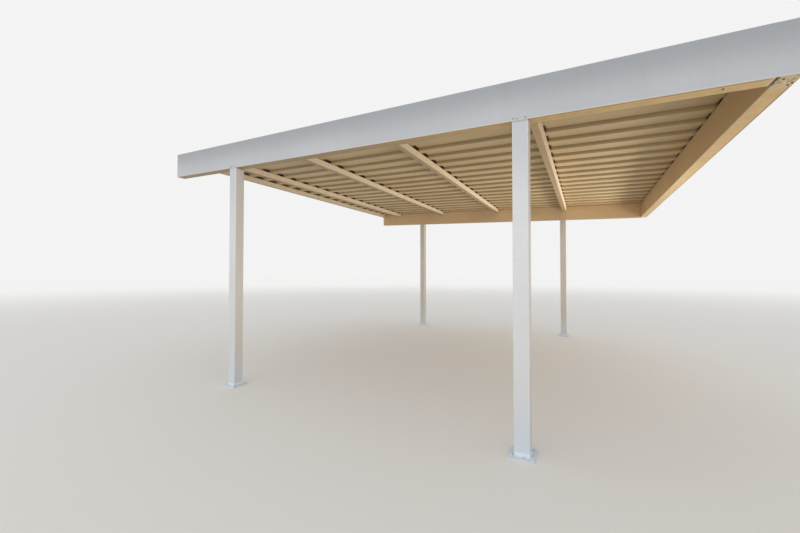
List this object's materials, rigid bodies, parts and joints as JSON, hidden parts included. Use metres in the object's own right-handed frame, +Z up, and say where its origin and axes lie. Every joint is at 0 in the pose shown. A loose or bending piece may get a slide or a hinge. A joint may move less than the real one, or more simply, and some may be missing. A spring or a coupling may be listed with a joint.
{
  "type": "carport",
  "caption": "Open steel carport with square posts, deep box beams, cross joists and a ribbed roof that falls away from a wall ledger.",
  "frame": {"origin": "on the ground at the middle of the roof's plan", "axes": "+X towards the street end where the roof is lowest, +Y towards the far side, +Z up"},
  "size_m": [5.9124, 5.5626, 2.9533],
  "materials": {
    "post_paint": "satin white paint",
    "plate_paint": "white paint, soiled",
    "fascia_paint": "satin off-white paint",
    "frame_paint": "satin cream paint",
    "deck_paint": "satin tan paint",
    "closure_foam": "dark closed-cell rubber foam",
    "trim_paint": "satin off-white paint"
  },
  "bodies": {
    "root": {"base_plate_far_street": "plate_paint", "base_plate_far_wall": "plate_paint", "base_plate_near_street": "plate_paint", "base_plate_near_wall": "plate_paint", "edge_trim_far": "trim_paint", "edge_trim_near": "trim_paint", "edge_trim_street": "trim_paint", "far_beam_inner": "frame_paint", "far_beam_outer": "fascia_paint", "joist_a": "frame_paint", "joist_b": "frame_paint", "joist_c": "frame_paint", "joist_clips_far": "frame_paint", "joist_clips_near": "frame_paint", "joist_d": "frame_paint", "near_beam_inner": "frame_paint", "near_beam_outer": "fascia_paint", "post_cap_far_street": "post_paint", "post_cap_far_wall": "post_paint", "post_cap_near_street": "post_paint", "post_cap_near_wall": "post_paint", "post_far_street": "post_paint", "post_far_wall": "post_paint", "post_near_street": "post_paint", "post_near_wall": "post_paint", "post_strap_far": "frame_paint", "post_strap_near": "frame_paint", "rib_closures": "closure_foam", "roof_panel_1": "deck_paint", "roof_panel_2": "deck_paint", "roof_panel_3": "deck_paint", "roof_panel_4": "deck_paint", "roof_panel_5": "deck_paint", "roof_panel_6": "deck_paint", "roof_panel_7": "deck_paint", "street_beam_inner": "frame_paint", "street_beam_outer": "fascia_paint", "wall_ledger": "frame_paint"}
  },
  "joints": []
}
